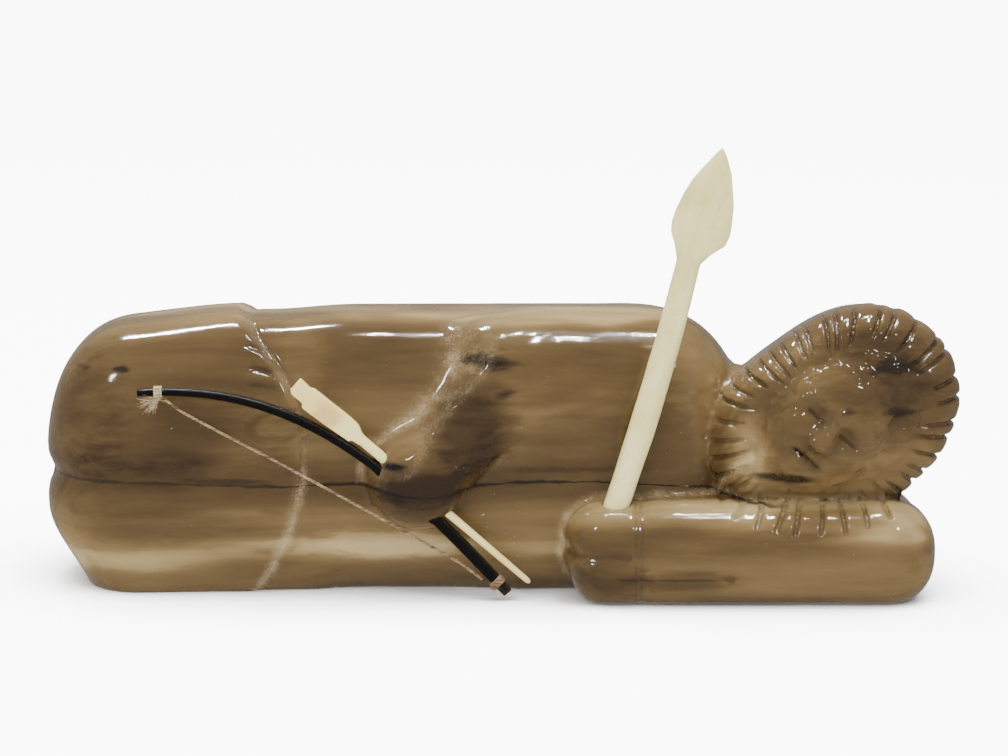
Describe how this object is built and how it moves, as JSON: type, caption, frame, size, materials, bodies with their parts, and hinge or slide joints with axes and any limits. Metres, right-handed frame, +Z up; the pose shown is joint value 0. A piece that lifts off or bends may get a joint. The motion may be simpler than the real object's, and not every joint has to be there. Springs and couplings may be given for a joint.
{
  "type": "ivory hunter carving",
  "caption": "Small carved figure of a reclining hunter in a fur-edged parka, gripping a bow and arrow in one hand and holding an upright spear in the other mitten.",
  "frame": {"origin": "the middle of the flat underside that the carving rests on", "axes": "+X from the boots towards the head, -Y out of the figure's front, +Z up"},
  "size_m": [0.1487, 0.0464, 0.0731],
  "materials": {
    "fossil_ivory": "polished",
    "cream_ivory": "satin",
    "baleen": "gloss",
    "sinew": "matte"
  },
  "bodies": {
    "root": {"hunter": "fossil_ivory", "spear": "cream_ivory", "bow": "baleen", "arrow": "cream_ivory", "bowstring": "sinew", "string_wrap_upper": "sinew", "string_wrap_lower": "sinew"}
  },
  "joints": []
}
